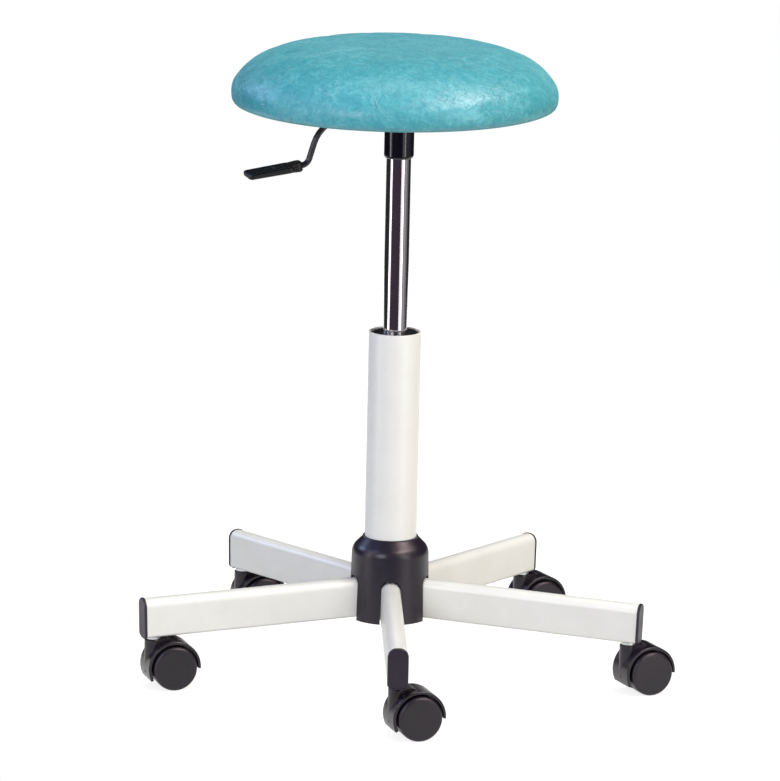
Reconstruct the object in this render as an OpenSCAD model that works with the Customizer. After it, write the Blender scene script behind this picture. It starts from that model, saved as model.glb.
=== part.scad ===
// Height-adjustable stool on five casters. Millimetres, +Z up.
// The origin is on the column's axis, at the floor. The seat is drawn fully raised.

/* [Seat] */
// Diameter of the cushion at its fullest girth
seat_d = 375; // [350:5:400]
// Height of the cushion from its lower edge to its crown
seat_h = 76; // [68:1:86]
// Height of the fullest girth above the lower edge
girth_h = 24; // [20:1:28]
// Thickness of the vinyl cover
cover_t = 1.2; // [0.8:0.1:1.6]
// Thickness of the seat board
board_t = 12; // [9:1:15]
// Radius of the board's lower edge
board_round = 6; // [4:0.5:8]
// Width of the cover's hem, turned under the board
hem_w = 20; // [14:1:40]
// How far the cushion sits off the column's axis, along X
seat_shift = -6; // [-8:0.5:8]

/* [Seat plate] */
// Depth of the pressed plate, from the board down to its floor
plate_depth = 16; // [15:0.5:19]
// Sheet thickness of the plate
plate_t = 2; // [1.5:0.1:2.2]
// Diameter of the plate's flat floor
plate_floor_d = 100; // [94:1:106]
// Diameter of the plate's flange
plate_flange_d = 160; // [150:1:180]
// Diameter of the circle of seat screws
screw_circle_d = 140; // [134:1:144]
// Diameter of a seat screw's thread
screw_d = 6; // [5:0.5:6]
// Outside diameter of the cone socket
socket_d = 34; // [32.5:0.5:36]
// Length of the cone socket below the plate
socket_h = 39.5; // [36:0.5:46]

/* [Lever] */
// Diameter of the lever's rod
lever_d = 7; // [6:0.5:7]
// Direction of the lever, seen from above
lever_turn = 195; // [180:1:210]
// Distance of the pivot pin from the column's axis
pivot_r = 44; // [40:0.5:45]
// Distance from the axis to the knee, where the rod turns down
knee_r = 91; // [86:0.5:95]
// Distance from the axis to the elbow, where the rod meets the grip
elbow_r = 107; // [104:0.5:112]
// Height of the elbow below the rod's inner run
elbow_drop = 52.6; // [50:0.2:60]
// Distance from the axis to the grip's tip
grip_tip_r = 178; // [165:1:185]
// Height of the tip's middle below the elbow
grip_drop = 11.2; // [6:0.2:16]
// Width of the grip
grip_w = 35; // [28:1:38]

/* [Gas lift] */
// Diameter of the lift cylinder
cyl_d = 28; // [27:0.5:29]
// Wall of the lift cylinder
cyl_wall = 2; // [1.5:0.1:2.5]
// Length of cylinder that shows above the column, seat fully raised
cyl_out = 201; // [196:1:212]
// Travel of the seat from its highest to its lowest place
stroke = 190; // [150:5:194]
// Diameter of the piston rod
rod_d = 10; // [8:0.5:10]
// Diameter of the stand tube
stand_d = 50; // [48:0.5:52]
// Wall of the stand tube
stand_wall = 1.8; // [1.5:0.1:2.2]

/* [Column and hub] */
// Outside diameter of the column tube
column_d = 60; // [59:0.5:62]
// Wall of the column tube
column_wall = 2; // [1.5:0.1:2.2]
// Length of the column tube
column_h = 336; // [320:1:350]
// Height of the steel core inside the column's foot
core_h = 44; // [36:1:50]
// Diameter of the hub shroud at its shoulder
shoulder_d = 89; // [84:1:90]
// Diameter of the hub shroud at its lower rim
rim_d = 92; // [88:1:94]
// Height of the hub shroud
shroud_h = 96; // [90:1:104]
// Wall of the hub shroud
shroud_t = 2.5; // [2:0.1:3]

/* [Legs] */
// Radius of the base, from the axis to the legs' outer faces
base_r = 300; // [270:5:330]
// Width of a leg's tube
leg_w = 22; // [20:0.5:23]
// Height of a leg's tube
leg_h = 44.5; // [42:0.5:48]
// Wall of a leg's tube
leg_wall = 1.5; // [1.2:0.1:2]
// Fall of the legs towards their outer ends, in degrees
leg_slope = 1.7; // [1:0.1:2.2]
// Turn of the front leg away from straight ahead, in degrees
leg_turn = 2.3; // [0:0.1:10]
// Thickness of an end cap's flange
cap_t = 3; // [2.4:0.1:3.4]

/* [Casters] */
// Diameter of a caster wheel
wheel_d = 51; // [46:1:54]
// Width across a pair of wheels
caster_w = 48; // [44:1:52]
// Distance from the stem's axis back to the axle
trail = 21; // [19:0.5:23]
// Diameter of the axle
axle_d = 6; // [5:0.5:7]
// Diameter of the stem in the end cap
stem_d = 11; // [10:0.5:11.5]
// Direction in which each caster trails, seen from above, front one first
trail_turns = [19, 25, 27, 20, 19]; // [0:1:360]

/* [Hidden] */
$fn = 64;

// Clearances. A seat is fixed, a run turns or slides, a face gap lies between faces that pass.
seat_gap = 0.02;
run_gap = 0.05;
face_gap = 0.3;
// Overrun of every cut past the face it opens
over = 1;

// Caster, from the floor up
wheel_r = wheel_d / 2;
hood_gap = 2.5;
hood_t = 3;
hood_r = wheel_r + hood_gap + hood_t;
hood_w = 38;
hood_edge_r = 1.2;
hood_start = -3;
hood_sweep = 210;
neck_r = 10;
neck_rise = 1.5;
neck_edge_r = 1.5;
neck_z = wheel_r + hood_r + neck_rise;
saddle_len = 16;
saddle_w = 18;
saddle_angle = 55;
body_w = 13.4;
web_t = 4;
axle_boss_r = 6.5;
pin_d = 8;
pin_h = 28;
pin_tail = 4;
wheel_w = caster_w / 2 - body_w / 2 - face_gap;
wheel_face_t = 2.6;
wheel_rim_t = 3.2;
wheel_edge_r = 3.6;
wheel_inner_edge = 1;
wheel_hub_r = 5.6;
wheel_ribs = 6;
wheel_rib_t = 1.6;
wheel_rib_inset = 4;
axle_end_gap = 0.5;

// Stem, end cap and leg, resting on the casters' necks
stem_inset = 14;
stem_r = base_r - stem_inset;
stem_flange_d = 17;
stem_flange_t = 2.5;
stem_h = 22;
stem_tip_h = 1.5;
ring_groove_h = 2.5;
ring_groove_depth = 0.8;
ring_groove_rise = 14;
spigot_wall = 2;
spigot_proud = 0.4;
stem_seat_z = neck_z + face_gap + stem_flange_t;
leg_under_z = stem_seat_z + spigot_proud;
leg_axis_z = leg_under_z + leg_h / 2 / cos(leg_slope) + stem_r * tan(leg_slope);
leg_top_r = 9.5;
leg_foot_r = 3;
leg_end = (base_r - cap_t) / cos(leg_slope);
cap_overhang = 0.75;
cap_chamfer = 0.8;
cap_foot_r = 5;
cap_fit = 0.1;
cap_block_back = 10;
lip_w = 15;
lip_drop = 1.3;
lip_r = 2;

// Column and hub, carried by the legs
column_r = column_d / 2;
column_bore = column_r - column_wall;
column_edge_r = 0.7;
leg_root_z = leg_under_z + (stem_r - column_r) * tan(leg_slope);
column_drop = 2.8;
column_z = leg_root_z - column_drop;
column_top_z = column_z + column_h;
shroud_drop = 3.8;
shroud_z = leg_root_z - shroud_drop;
shroud_round = 16;
shroud_slope = 45;
shroud_neck_h = 1;
shroud_neck_t = 1.9;
shroud_fit = 0.1;
slot_gap = 1;
slot_head = 3;
slot_r = 10;
locator_t = 2;

// Gas lift, standing in the hub core
stand_r = stand_d / 2;
stand_draft = 1.1;
stand_floor = 5;
stand_drop = 1.5;
stand_z = column_z - stand_drop;
stand_top_gap = 3;
stand_top_z = column_top_z - stand_top_gap;
bush_h = 70;
bush_flange_h = 2;
ring_h = 9;
race_r = 17;
race_t = 2.5;
ball_d = 5;
ball_gap = 0.15;
ball_count = 12;
ball_circle_r = 12;
cage_t = 2.2;
cage_w = 3.6;
race_z = stand_z + stand_floor;
cage_z = race_z + race_t;
upper_race_z = cage_z + ball_d + 2 * ball_gap;
bumper_h = 20;
bumper_r = 11;
bumper_z = upper_race_z + race_t;
bumper_top_z = bumper_z + bumper_h;
clip_r = 9;
clip_t = 1.5;
clip_groove = 1.2;
clip_slot_w = 5;
rod_tail = 3;
clip_z = stand_z - face_gap - clip_t;
rod_foot_z = clip_z - rod_tail;

// Lift cylinder and seat, with the seat fully raised
cyl_r = cyl_d / 2;
cyl_bore = cyl_r - cyl_wall;
stop_gap = 3;
cyl_z = bumper_top_z + stop_gap + stroke;
guide_h = 25;
guide_lip = 1;
piston_gap = 2;
piston_h = 16;
piston_seal_h = 4;
piston_seal_depth = 1;
piston_z = cyl_z + guide_h + piston_gap;
rod_top_z = piston_z + piston_h + piston_gap;
socket_z = column_top_z + cyl_out;
plate_z = socket_z + socket_h;
taper_drop = 0.9;
cyl_top_gap = 2.5;
cyl_top_z = plate_z - cyl_top_gap;
cyl_head = 36;
cyl_edge_r = 1.5;
socket_edge_h = 4.5;
socket_edge_in = 2.2;
board_z = plate_z + plate_depth;
plate_wall_run = 8;
release_d = 6;
release_depth = 20;
release_travel = 4.5;

// Lever, in a frame whose X axis runs out along the rod
lever_r = lever_d / 2;
lever_headroom = 2.5;
lever_z = plate_z + plate_t + lever_headroom + lever_r;
lever_inner_r = -3;
rod_sides = 24;
bend_steps = 8;
knee_bend = 40;
elbow_bend = 11;
knee_angle = atan2(elbow_drop, elbow_r - knee_r);
grip_angle = atan2(grip_drop, grip_tip_r - elbow_r);
elbow_angle = knee_angle - grip_angle;
knee_reach = knee_bend * tan(knee_angle / 2);
elbow_reach = elbow_bend * tan(elbow_angle / 2);
shank_len = norm([elbow_r - knee_r, elbow_drop]) - knee_reach - elbow_reach;
grip_start = elbow_reach;
grip_run = norm([grip_tip_r - elbow_r, grip_drop]);
grip_root_t = 8;
grip_tip_t = 6;
grip_root_w = 16;
grip_shoulder = 12;
grip_corner_r = 5;
grip_end_r = 5;
grip_edge = 1.2;
tang_len = 26;
slot_w = 10;
pivot_d = 3;
pivot_len = 18;
ear_gap = 0.5;
ear_t = 2;
ear_len = 7;
ear_top = 3;

// Cushion
seat_z = board_z - cover_t;
seat_r = seat_d / 2;
crown_h = seat_h - girth_h;
flat_share = 0.48;
crown_power = 5.4;
shoulder_power = 1.2;
under_power = 4.2;
cushion_steps = 14;
board_stop = 5;
lining = cushion_outline(cover_t);
board_foot_r = lining[board_stop][0];
board_foot_z = seat_z + lining[board_stop][1];
board_r = board_foot_r + board_round;
hem_r = board_foot_r - hem_w;

// Fasteners
screw_len = 14;
screw_head_d = 12;
screw_head_h = 3.5;
screw_socket = 4;
screw_socket_depth = 2;
nut_flange_d = 18;
nut_flange_t = 1.4;
nut_barrel_wall = 1.2;
nut_barrel_h = 9;

// Points on an arc about a centre, from one angle to another
function arc(c, r, from, to, steps) =
    [for (i = [0 : steps]) let (a = from + (to - from) * i / steps) c + r * [cos(a), sin(a)]];

// Half outline of the cushion, from the middle of its underside round to its crown
function cushion_outline(inset) =
    let (
        out = seat_r - inset,
        flat = flat_share * out,
        deep = girth_h - inset,
        rise = crown_h - inset,
        step = 90 / cushion_steps
    )
    concat(
        [[0, inset]],
        [for (i = [cushion_steps : -1 : 0]) [
            flat + (out - flat) * pow(cos(i * step), 2 / under_power),
            girth_h - deep * pow(sin(i * step), 2 / under_power)
        ]],
        [for (i = [1 : cushion_steps]) [
            out * pow(cos(i * step), 2 / crown_power),
            girth_h + rise * pow(sin(i * step), 2 / shoulder_power)
        ]]
    );

// Upright rounded outline of a leg: nearly half-round on top, small radii below
module leg_outline(w, h, top_r, foot_r) {
    for (side = [-1, 1]) {
        translate([side * (w / 2 - top_r), h / 2 - top_r])
            circle(r = top_r);
        translate([side * (w / 2 - foot_r), foot_r - h / 2])
            circle(r = foot_r);
    }
    translate([top_r - w / 2, foot_r - h / 2])
        square([w - 2 * top_r, h - foot_r]);
    translate([-w / 2, foot_r - h / 2])
        square([w, h - foot_r - top_r]);
    translate([foot_r - w / 2, -h / 2])
        square([w - 2 * foot_r, h - top_r]);
}

// A ring or a disc standing at a height
module ring(r, bore, z, h) {
    translate([0, 0, z])
        difference() {
            cylinder(r = r, h = h);
            if (bore > 0)
                translate([0, 0, -over])
                    cylinder(r = bore, h = h + 2 * over);
        }
}

// Turned solid from a list of radius and height points
module turned(points) {
    rotate_extrude()
        polygon(points);
}

// Frames of the legs and casters
function leg_azimuth(i) = -90 + leg_turn + (i - 1) * 360 / 5;

module at_leg(i) {
    rotate([0, 0, leg_azimuth(i)])
        translate([0, 0, leg_axis_z])
            rotate([0, leg_slope, 0])
                children();
}

module along_leg(from, to) {
    translate([from, 0, 0])
        rotate([90, 0, 90])
            linear_extrude(to - from)
                children();
}

module at_stem(i) {
    rotate([0, 0, leg_azimuth(i)])
        translate([stem_r, 0, 0])
            children();
}

module at_caster(i) {
    at_stem(i)
        rotate([0, 0, trail_turns[i - 1] - leg_azimuth(i)])
            children();
}

module at_axle(i) {
    at_caster(i)
        translate([trail, 0, wheel_r])
            rotate([90, 0, 0])
                children();
}

module at_lever() {
    rotate([0, 0, lever_turn])
        children();
}

module at_screws() {
    for (i = [0 : 3])
        rotate([0, 0, lever_turn + 45 + i * 90])
            translate([screw_circle_d / 2, 0, 0])
                children();
}

// Cushion: cover, foam and board
module cushion_solid(inset) {
    translate([seat_shift, 0, seat_z])
        turned(cushion_outline(inset));
}

// The board's underside follows the inside of the cover
module board_blank() {
    translate([seat_shift, 0, 0])
        turned(concat(
            [for (i = [0 : board_stop - 1]) lining[i] + [0, seat_z]],
            arc([board_foot_r, board_foot_z + board_round], board_round, -90, 0, 6),
            [[board_r, board_z + board_t], [0, board_z + board_t]]
        ));
}

module seat_cover() {
    color("#5fb0b8")
        difference() {
            cushion_solid(0);
            cushion_solid(cover_t);
            translate([seat_shift, 0, seat_z - over])
                cylinder(r = hem_r, h = cover_t + 2 * over);
        }
}

module seat_foam() {
    color("#e8dfc4")
        difference() {
            cushion_solid(cover_t);
            board_blank();
            translate([seat_shift, 0, board_z - over])
                cylinder(r = board_foot_r, h = board_t + over);
            at_screws()
                translate([0, 0, board_z + board_t - over])
                    cylinder(d = nut_flange_d + 2 * run_gap, h = nut_flange_t + run_gap + over);
        }
}

module seat_board() {
    color("#c9a36b")
        difference() {
            board_blank();
            at_screws()
                translate([0, 0, board_z - over])
                    cylinder(r = screw_d / 2 + nut_barrel_wall + seat_gap, h = board_t + 2 * over);
        }
}

// Pressed plate: flat floor, sloping wall and flange, open for the lever on one side
module seat_plate() {
    floor_r = plate_floor_d / 2;
    flange_r = plate_flange_d / 2;
    wall_r = floor_r + plate_wall_run;
    color("#2c2c30")
        difference() {
            turned([
                [0, plate_z],
                [floor_r, plate_z],
                [wall_r, board_z - plate_t],
                [flange_r, board_z - plate_t],
                [flange_r, board_z],
                [wall_r - plate_t, board_z],
                [floor_r - plate_t, plate_z + plate_t],
                [0, plate_z + plate_t]
            ]);
            translate([0, 0, plate_z - over])
                cylinder(r = cyl_r - taper_drop + over, h = plate_t + 2 * over);
            at_lever()
                translate([floor_r - plate_t, -slot_w / 2, plate_z + plate_t + over])
                    cube([flange_r, slot_w, plate_depth]);
            at_screws()
                translate([0, 0, board_z - plate_t - over])
                    cylinder(r = screw_d / 2 + face_gap, h = plate_t + 2 * over);
        }
}

module seat_screws() {
    head_z = board_z - plate_t - screw_head_h;
    color("#9a9a9e")
        at_screws()
            translate([0, 0, head_z])
                difference() {
                    union() {
                        cylinder(d = screw_head_d, h = screw_head_h);
                        cylinder(d = screw_d, h = screw_head_h + screw_len);
                    }
                    translate([0, 0, -over])
                        cylinder(d = screw_socket, h = screw_socket_depth + over, $fn = 6);
                }
}

module t_nuts() {
    barrel_r = screw_d / 2 + nut_barrel_wall;
    color("#b9b9be")
        at_screws()
            difference() {
                union() {
                    translate([0, 0, board_z + board_t])
                        cylinder(d = nut_flange_d, h = nut_flange_t);
                    translate([0, 0, board_z + board_t - nut_barrel_h])
                        cylinder(r = barrel_r, h = nut_barrel_h + nut_flange_t);
                }
                translate([0, 0, board_z])
                    cylinder(r = screw_d / 2 + seat_gap, h = board_t + nut_flange_t + over);
            }
}

// Radius of the lift cylinder's taper at a height
function taper_r(z) = cyl_r - taper_drop * (z - socket_z) / (cyl_top_z - socket_z);

// Socket with the lift cylinder's taper bored through it, its lower edge rounded
module cone_socket() {
    socket_r = socket_d / 2;
    color("#17171a")
        turned(concat(
            [[taper_r(socket_z) + seat_gap, socket_z]],
            [for (i = [0 : 6]) let (a = -90 + i * 15) [
                socket_r + socket_edge_in * (cos(a) - 1),
                socket_z + socket_edge_h * (sin(a) + 1)
            ]],
            [[socket_r, plate_z], [taper_r(plate_z) + seat_gap, plate_z]]
        ));
}

// Lever: a bent rod in a bracket, and the flat grip on its tang.
// Each stop on the rod's centre line is a point and the angle at which the rod falls there.
function fall(angle) = [cos(angle), -sin(angle)];

function outward(angle) = [sin(angle), cos(angle)];

function rod_stops() =
    let (
        knee_c = [knee_r - knee_reach, lever_z - knee_bend],
        shank_end = knee_c + knee_bend * outward(knee_angle) + shank_len * fall(knee_angle),
        elbow_c = shank_end + elbow_bend * outward(knee_angle),
        tang_root = elbow_c - elbow_bend * outward(grip_angle)
    )
    concat(
        [[[lever_inner_r, lever_z], 0]],
        [for (i = [0 : bend_steps]) let (a = knee_angle * i / bend_steps)
            [knee_c + knee_bend * outward(a), a]],
        [for (i = [0 : bend_steps]) let (a = knee_angle - elbow_angle * i / bend_steps)
            [elbow_c - elbow_bend * outward(a), a]],
        [[tang_root + tang_len * fall(grip_angle), grip_angle]]
    );

// Round bar swept along its stops
module swept_rod(stops, r, sides) {
    last = len(stops) - 1;
    polyhedron(
        points = [for (s = stops, k = [0 : sides - 1]) let (t = k * 360 / sides) [
            s[0][0] + r * sin(t) * sin(s[1]),
            r * cos(t),
            s[0][1] + r * sin(t) * cos(s[1])
        ]],
        faces = concat(
            [[for (k = [0 : sides - 1]) k]],
            [for (j = [0 : last - 1], k = [0 : sides - 1]) [
                j * sides + k,
                (j + 1) * sides + k,
                (j + 1) * sides + (k + 1) % sides,
                j * sides + (k + 1) % sides
            ]],
            [[for (k = [sides - 1 : -1 : 0]) last * sides + k]]
        )
    );
}

module pivot_bar(r, len) {
    translate([pivot_r, len / 2, lever_z])
        rotate([90, 0, 0])
            cylinder(r = r, h = len);
}

module lever_rod() {
    color("#1b1b1e")
        at_lever()
            difference() {
                swept_rod(rod_stops(), lever_r, rod_sides);
                pivot_bar(pivot_d / 2 + run_gap, lever_d + 2 * over);
            }
}

// Frame of the grip: X runs from the elbow to the tip
module at_grip() {
    at_lever()
        translate([elbow_r, 0, lever_z - elbow_drop])
            rotate([0, grip_angle, 0])
                children();
}

// Upright disc with bevelled edges, a corner of the grip
module grip_corner(x, y, r, thick) {
    translate([x, y, grip_edge - thick / 2])
        cylinder(r = r, h = thick - 2 * grip_edge, $fn = 24);
    translate([x, y, -thick / 2])
        cylinder(r = r - grip_edge, h = thick, $fn = 24);
}

module lever_grip() {
    wide = grip_w / 2 - grip_corner_r;
    narrow = grip_root_w / 2 - grip_corner_r;
    root = grip_start + grip_corner_r;
    blade = root + grip_shoulder;
    tip = grip_run - grip_end_r;
    color("#1e1e21")
        at_grip()
            difference() {
                union() {
                    hull()
                        for (side = [-1, 1]) {
                            grip_corner(blade, side * wide, grip_corner_r, grip_root_t - grip_edge);
                            grip_corner(tip, side * (grip_w / 2 - grip_end_r), grip_end_r, grip_tip_t);
                        }
                    hull()
                        for (side = [-1, 1]) {
                            grip_corner(root, side * narrow, grip_corner_r, grip_root_t + lever_r);
                            grip_corner(blade + tang_len / 2, side * narrow, grip_corner_r, grip_root_t);
                        }
                }
                rotate([0, 90, 0])
                    cylinder(r = lever_r + seat_gap, h = grip_start + tang_len + seat_gap);
            }
}

// Bracket: two ears and a foot on the plate's floor, beside the rod
module lever_bracket() {
    ear_y = lever_r + ear_gap;
    foot_z = plate_z + plate_t;
    color("#8f9094")
        at_lever()
            difference() {
                for (side = [-1, 1])
                    translate([pivot_r - ear_len / 2, side * (ear_y + ear_t / 2) - ear_t / 2, foot_z])
                        cube([ear_len, ear_t, lever_z + ear_top - foot_z]);
                pivot_bar(pivot_d / 2 + seat_gap, pivot_len);
            }
}

module lever_pin() {
    color("#c2c2c6")
        at_lever()
            pivot_bar(pivot_d / 2, pivot_len);
}

module release_pin() {
    foot_z = cyl_top_z - release_depth;
    color("#c9c9cd")
        translate([0, 0, foot_z])
            cylinder(d = release_d, h = lever_z - lever_r - face_gap - foot_z);
}

// Gas lift
module lift_cylinder() {
    color("#c4c6ca")
        difference() {
            turned(concat(
                [[0, cyl_z]],
                arc([cyl_r - cyl_edge_r, cyl_z + cyl_edge_r], cyl_edge_r, -90, 0, 5),
                [[cyl_r, socket_z], [taper_r(cyl_top_z), cyl_top_z], [0, cyl_top_z]]
            ));
            translate([0, 0, cyl_z - over])
                cylinder(r = cyl_bore, h = cyl_top_z - cyl_head - cyl_z + over);
            translate([0, 0, cyl_top_z - release_depth - release_travel])
                cylinder(r = release_d / 2 + run_gap, h = release_depth + release_travel + over);
        }
}

module rod_guide() {
    color("#3b3b40")
        ring(cyl_bore - seat_gap, rod_d / 2 + run_gap, cyl_z + guide_lip, guide_h - guide_lip);
}

module piston_rod() {
    rod_r = rod_d / 2;
    neck = rod_r - clip_groove;
    color("#d0d2d6")
        turned([
            [0, rod_foot_z],
            [rod_r, rod_foot_z],
            [rod_r, clip_z],
            [neck, clip_z],
            [neck, clip_z + clip_t],
            [rod_r, clip_z + clip_t],
            [rod_r, piston_z + piston_h],
            [rod_r + piston_gap, piston_z + piston_h],
            [rod_r + piston_gap, rod_top_z],
            [0, rod_top_z]
        ]);
}

module piston() {
    out = cyl_bore - run_gap;
    mid_z = piston_z + piston_h / 2;
    color("#6f7277")
        difference() {
            ring(out, rod_d / 2 + seat_gap, piston_z, piston_h);
            difference() {
                ring(out + over, 0, mid_z - piston_seal_h / 2, piston_seal_h);
                ring(out - piston_seal_depth, 0, mid_z - piston_seal_h, 2 * piston_seal_h);
            }
        }
}

module rod_bumper() {
    color("#202022")
        ring(bumper_r, rod_d / 2 + seat_gap, bumper_z, bumper_h);
}

// Spring clip in the rod's groove, open on one side
module rod_clip() {
    color("#85868a")
        difference() {
            ring(clip_r, rod_d / 2 - clip_groove + seat_gap, clip_z + seat_gap, clip_t - 2 * seat_gap);
            translate([0, -clip_slot_w / 2, clip_z - over])
                cube([clip_r + over, clip_slot_w, clip_t + 2 * over]);
        }
}

module upper_race() {
    color("#a7a9ad")
        ring(race_r, rod_d / 2 + seat_gap, upper_race_z, race_t);
}

module lower_race() {
    color("#a7a9ad")
        ring(race_r, rod_d / 2 + face_gap, race_z, race_t);
}

module at_balls() {
    for (i = [0 : ball_count - 1])
        rotate([0, 0, i * 360 / ball_count])
            translate([ball_circle_r, 0, cage_z + ball_gap + ball_d / 2])
                children();
}

module ball_cage() {
    color("#b08d4c")
        difference() {
            ring(
                ball_circle_r + cage_w,
                ball_circle_r - cage_w,
                cage_z + ball_gap + ball_d / 2 - cage_t / 2,
                cage_t
            );
            at_balls()
                translate([0, 0, -cage_t])
                    cylinder(r = ball_d / 2 + run_gap, h = 2 * cage_t);
        }
}

module bearing_balls() {
    color("#dcdde0")
        at_balls()
            sphere(d = ball_d);
}

// Radius of the stand tube's taper at a height
function stand_taper(z) = stand_r - stand_draft * (column_z + core_h - z) / (core_h + stand_drop);

module stand_tube() {
    hole_r = rod_d / 2 + run_gap;
    bore = stand_r - stand_wall;
    color("#26262a")
        turned([
            [hole_r, stand_z],
            [stand_taper(stand_z), stand_z],
            [stand_r, column_z + core_h],
            [stand_r, stand_top_z],
            [bore, stand_top_z],
            [bore, column_z + core_h],
            [stand_taper(race_z) - stand_wall, race_z],
            [hole_r, race_z]
        ]);
}

module guide_bush() {
    bore = cyl_r + run_gap;
    out = stand_r - stand_wall - seat_gap;
    color("#161618")
        turned([
            [bore, stand_top_z - bush_h],
            [out, stand_top_z - bush_h],
            [out, stand_top_z],
            [stand_r, stand_top_z],
            [stand_r, stand_top_z + bush_flange_h],
            [bore, stand_top_z + bush_flange_h]
        ]);
}

module centring_ring() {
    color("#161618")
        ring(column_bore - seat_gap, stand_r + seat_gap, stand_top_z - ring_h, ring_h);
}

// Column and hub
module column_tube() {
    inner_c = [column_bore + column_edge_r, column_top_z - column_edge_r];
    outer_c = [column_r - column_edge_r, column_top_z - column_edge_r];
    color("#eeeeea")
        turned(concat(
            [[column_bore, column_z], [column_r, column_z]],
            arc(outer_c, column_edge_r, 0, 90, 4),
            arc(inner_c, column_edge_r, 90, 180, 4)
        ));
}

module hub_core() {
    color("#8b8d91")
        turned([
            [stand_taper(column_z) + seat_gap, column_z],
            [column_bore - seat_gap, column_z],
            [column_bore - seat_gap, column_z + core_h],
            [stand_r + seat_gap, column_z + core_h]
        ]);
}

// Moulded shroud: drafted skirt, rounded shoulder and a lipped neck round the column
module shroud_shell() {
    shoulder_r = shoulder_d / 2;
    foot_r = rim_d / 2;
    top_z = shroud_z + shroud_h;
    neck_out = column_r + shroud_fit + shroud_neck_t;
    round_r = shoulder_r - shroud_round;
    slope_out = round_r + shroud_round * cos(shroud_slope);
    bend_z = top_z - shroud_neck_h - (slope_out - neck_out) - shroud_round * sin(shroud_slope);
    inner_round = shroud_round - shroud_t;
    slope_in = round_r + inner_round * cos(shroud_slope);
    slope_in_z = bend_z + inner_round * sin(shroud_slope);
    neck_in = column_r + shroud_fit;
    turned(concat(
        [[foot_r, shroud_z]],
        arc([round_r, bend_z], shroud_round, 0, shroud_slope, 8),
        [[neck_out, top_z - shroud_neck_h], [neck_out, top_z], [neck_in, top_z]],
        [[neck_in, slope_in_z + slope_in - neck_in]],
        arc([round_r, bend_z], inner_round, shroud_slope, 0, 8),
        [[foot_r - shroud_t, shroud_z]]
    ));
}

// Arched slot for a leg, open at the shroud's rim
module leg_slot() {
    slot_half = leg_w / 2 + slot_gap;
    head_z = leg_root_z + leg_h + slot_head;
    translate([column_r - over, 0, 0])
        rotate([90, 0, 90])
            linear_extrude(rim_d / 2)
                union() {
                    for (side = [-1, 1])
                        translate([side * (slot_half - slot_r), head_z - slot_r])
                            circle(r = slot_r);
                    translate([slot_r - slot_half, head_z - 2 * slot_r])
                        square([2 * (slot_half - slot_r), 2 * slot_r]);
                    translate([-slot_half, shroud_z - over])
                        square([2 * slot_half, head_z - slot_r - shroud_z + over]);
                }
}

module hub_shroud() {
    locator_z = leg_root_z + leg_h + slot_head;
    locator_w = shoulder_d / 2 - shroud_t / 2 - column_r - shroud_fit;
    color("#37343a") {
        difference() {
            shroud_shell();
            for (i = [1 : 5])
                rotate([0, 0, leg_azimuth(i)])
                    leg_slot();
        }
        for (i = [1 : 5])
            rotate([0, 0, leg_azimuth(i) + 180 / 5])
                translate([column_r + shroud_fit, -locator_t / 2, locator_z])
                    cube([locator_w, locator_t, shroud_round]);
    }
}

// Legs and their end caps
module leg(i) {
    inner_w = leg_w - 2 * leg_wall;
    inner_h = leg_h - 2 * leg_wall;
    color("#f0efec")
        difference() {
            at_leg(i)
                along_leg(column_r / 2, leg_end)
                    difference() {
                        leg_outline(leg_w, leg_h, leg_top_r, leg_foot_r);
                        leg_outline(inner_w, inner_h, leg_top_r - leg_wall, leg_foot_r - leg_wall);
                    }
            translate([0, 0, column_z])
                cylinder(r = column_r, h = 2 * leg_h);
            at_stem(i)
                translate([0, 0, stem_seat_z - over])
                    cylinder(r = stem_d / 2 + spigot_wall + run_gap, h = leg_h / 2);
        }
}

module cap_flange() {
    wide = leg_w + 2 * cap_overhang;
    tall = leg_h + 2 * cap_overhang;
    hull() {
        along_leg(leg_end, leg_end + cap_t - cap_chamfer)
            leg_outline(wide, tall, leg_top_r + cap_overhang, cap_foot_r, $fn = 32);
        along_leg(leg_end, leg_end + cap_t)
            leg_outline(
                wide - 2 * cap_chamfer,
                tall - 2 * cap_chamfer,
                leg_top_r + cap_overhang - cap_chamfer,
                cap_foot_r - cap_chamfer,
                $fn = 32
            );
    }
    lip_z = tall / 2 + lip_drop;
    along_leg(leg_end, leg_end + cap_t - cap_chamfer)
        union() {
            for (side = [-1, 1])
                translate([side * (lip_w / 2 - lip_r), lip_r - lip_z])
                    circle(r = lip_r);
            translate([lip_r - lip_w / 2, -lip_z])
                square([lip_w - 2 * lip_r, 2 * lip_drop + lip_r]);
            translate([-lip_w / 2, lip_r - lip_z])
                square([lip_w, 2 * lip_drop]);
        }
}

module end_cap(i) {
    shrink = leg_wall + cap_fit;
    block = stem_inset - cap_t + cap_block_back;
    color("#343137")
        difference() {
            union() {
                at_leg(i) {
                    cap_flange();
                    along_leg(leg_end - block, leg_end)
                        leg_outline(
                            leg_w - 2 * shrink,
                            leg_h - 2 * shrink,
                            leg_top_r - shrink,
                            leg_foot_r - leg_wall
                        );
                }
                at_stem(i)
                    translate([0, 0, stem_seat_z])
                        cylinder(r = stem_d / 2 + spigot_wall, h = spigot_proud + 2 * leg_wall);
            }
            at_stem(i)
                translate([0, 0, stem_seat_z - over])
                    cylinder(r = stem_d / 2 + seat_gap, h = stem_h + face_gap + over);
        }
}

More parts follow.
